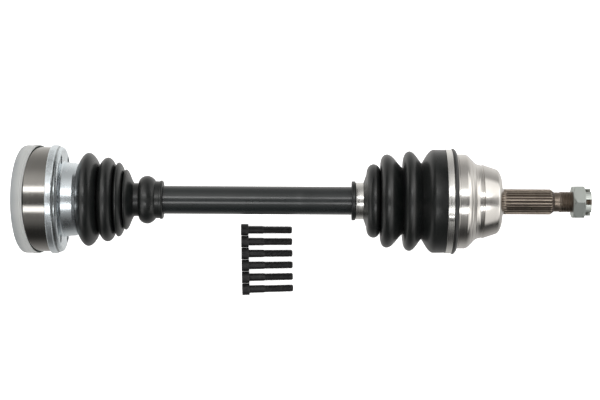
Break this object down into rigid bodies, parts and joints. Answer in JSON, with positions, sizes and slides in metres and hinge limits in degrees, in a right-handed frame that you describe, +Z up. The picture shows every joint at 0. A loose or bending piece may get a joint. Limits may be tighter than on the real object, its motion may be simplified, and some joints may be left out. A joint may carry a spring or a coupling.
{
  "type": "cv axle",
  "caption": "Drive axle with a bolt-on plunging joint, black rubber boots, a bare shaft and a fixed joint with a splined stub, castle nut and loose flange bolts.",
  "frame": {"origin": "centre of the flange bolt circle on the gearbox-side face of the inner joint ring", "axes": "+X along the shaft towards the wheel end, +Z up off the bench it lies on"},
  "size_m": [0.5476, 0.146, 0.1051],
  "materials": {
    "cap_plastic": "frosted",
    "ring_steel": "ground",
    "adapter_zinc": "bright zinc",
    "boot_rubber": "satin",
    "shaft_paint": "satin black",
    "joint_steel": "ground",
    "ball_steel": "polished",
    "spring_steel": "oiled",
    "thrust_plastic": "matte",
    "clamp_steel": "bright",
    "housing_steel": "turned",
    "nut_zinc": "zinc plated",
    "bolt_oxide": "black oxide"
  },
  "bodies": {
    "inner_housing": {"inner_joint_ring": "ring_steel", "boot_adapter": "adapter_zinc", "inner_boot": "boot_rubber"},
    "cap": {"shipping_cap": "cap_plastic"},
    "inner_ball_cage": {"inner_cage": "joint_steel", "inner_ball_1": "ball_steel", "inner_ball_2": "ball_steel", "inner_ball_3": "ball_steel", "inner_ball_4": "ball_steel", "inner_ball_5": "ball_steel", "inner_ball_6": "ball_steel"},
    "shaft": {"axle_shaft": "shaft_paint", "inner_star": "joint_steel", "inner_circlip": "spring_steel", "inner_dished_washer": "spring_steel", "outer_star": "joint_steel", "outer_circlip": "spring_steel", "outer_thrust_washer": "thrust_plastic", "outer_dished_washer": "spring_steel", "outer_boot": "boot_rubber", "boot_small_clamp": "clamp_steel"},
    "outer_ball_cage": {"outer_cage": "joint_steel", "outer_ball_1": "ball_steel", "outer_ball_2": "ball_steel", "outer_ball_3": "ball_steel", "outer_ball_4": "ball_steel", "outer_ball_5": "ball_steel", "outer_ball_6": "ball_steel"},
    "wheel_end": {"outer_housing": "housing_steel", "boot_large_clamp": "clamp_steel"},
    "nut": {"axle_nut": "nut_zinc"},
    "loose_bolts": {"flange_bolts": "bolt_oxide"}
  },
  "joints": [
    {"name": "cap_pull", "type": "slide", "parent": "inner_housing", "child": "cap", "axis": [-1, 0, 0], "range_m": [0, 0.06]},
    {"name": "inner_bend", "type": "hinge", "parent": "inner_housing", "child": "inner_ball_cage", "pos_m": [0.017, 0, 0], "axis": [0, 0, 1], "range_deg": [-20, 20]},
    {"name": "inner_plunge", "type": "slide", "parent": "inner_ball_cage", "child": "shaft", "axis": [1, 0, 0], "range_m": [-0.004, 0.012], "deforming": ["inner_boot"]},
    {"name": "outer_bend", "type": "hinge", "parent": "shaft", "child": "wheel_end", "pos_m": [0.411, 0, 0], "axis": [0, 0, 1], "range_deg": [-40, 40], "deforming": ["outer_boot"]},
    {"name": "outer_cage_bend", "type": "hinge", "parent": "shaft", "child": "outer_ball_cage", "pos_m": [0.411, 0, 0], "axis": [0, 0, 1], "range_deg": [-20, 20]},
    {"name": "nut_run_off", "type": "slide", "parent": "wheel_end", "child": "nut", "axis": [1, 0, 0], "range_m": [0, 0.045]},
    {"name": "bolts_lift", "type": "slide", "parent": "inner_housing", "child": "loose_bolts", "axis": [0, 0, 1], "range_m": [0, 0.02]}
  ],
  "couplings": [
    {"joint": "outer_cage_bend", "follows": "outer_bend", "ratio": 0.5}
  ]
}
